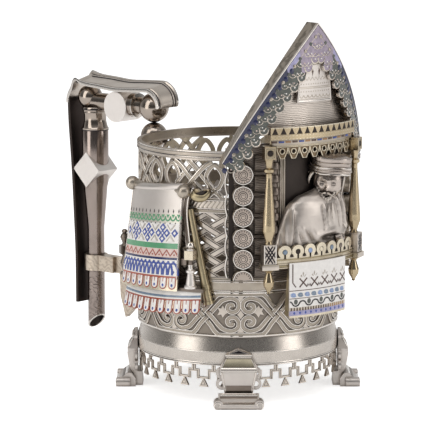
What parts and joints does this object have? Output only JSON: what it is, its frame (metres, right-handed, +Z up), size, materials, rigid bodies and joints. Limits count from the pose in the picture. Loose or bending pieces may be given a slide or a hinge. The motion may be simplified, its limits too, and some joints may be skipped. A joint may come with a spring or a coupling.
{
  "type": "tea glass holder",
  "caption": "Silver podstakannik: pierced cup with a rod and strap handle, an enamelled towel on a stand, and a gabled log-house window where a bust leans over its balcony.",
  "frame": {"origin": "on the standing plane, on the axis of the glass", "axes": "+Z up along the axis of the glass; -Y towards the front, between the towel and the window; +X to the right of that view"},
  "size_m": [0.1107, 0.1074, 0.1354],
  "materials": {
    "bright_silver": "polished silver",
    "satin_silver": "satin silver",
    "dark_silver": "oxidised silver, rubbed bright on its edges",
    "gilt": "pale gilding on silver",
    "enamel": "enamel in silver cells, in white, blue, green and rust red"
  },
  "bodies": {
    "root": {"glass_seat": "satin_silver", "lower_frieze": "satin_silver", "plain_rail": "bright_silver", "lattice_wall": "dark_silver", "hatched_belt": "satin_silver", "upper_frieze": "satin_silver", "rim_band": "bright_silver", "base_moulding": "bright_silver", "fringe_gallery": "satin_silver", "foot_front": "dark_silver", "foot_right": "dark_silver", "foot_back": "dark_silver", "foot_left": "dark_silver", "handle_post": "dark_silver", "corner_ball": "dark_silver", "square_bar": "satin_silver", "cross_arm": "dark_silver", "arm_peg": "satin_silver", "arm_ball": "dark_silver", "rim_ball": "dark_silver", "strap": "dark_silver", "axe_head": "satin_silver", "towel_rod": "satin_silver", "towel_upper": "enamel", "towel_lower": "enamel", "stand_shelf": "satin_silver", "stand_bar": "satin_silver", "stand_post_left": "satin_silver", "stand_post_right": "satin_silver", "gilt_staff": "gilt", "gilt_hook": "gilt", "log_wall": "dark_silver", "log_ends_left": "satin_silver", "log_ends_right": "satin_silver", "window_frame": "dark_silver", "curtains": "satin_silver", "bust_body": "satin_silver", "bust_head": "satin_silver", "bust_hat": "satin_silver", "balcony_floor": "satin_silver", "balcony_rail": "gilt", "balcony_cloth": "enamel", "column_left": "gilt", "column_right": "gilt", "block_left": "gilt", "block_right": "gilt", "pendant_left": "gilt", "pendant_right": "gilt", "cap_left": "gilt", "cap_right": "gilt", "cornice": "gilt", "crenels": "gilt", "valance": "gilt", "plank_gable": "dark_silver", "carved_towel": "enamel", "board_left": "enamel", "board_right": "enamel", "roof_left": "dark_silver", "roof_right": "dark_silver"}
  },
  "joints": []
}
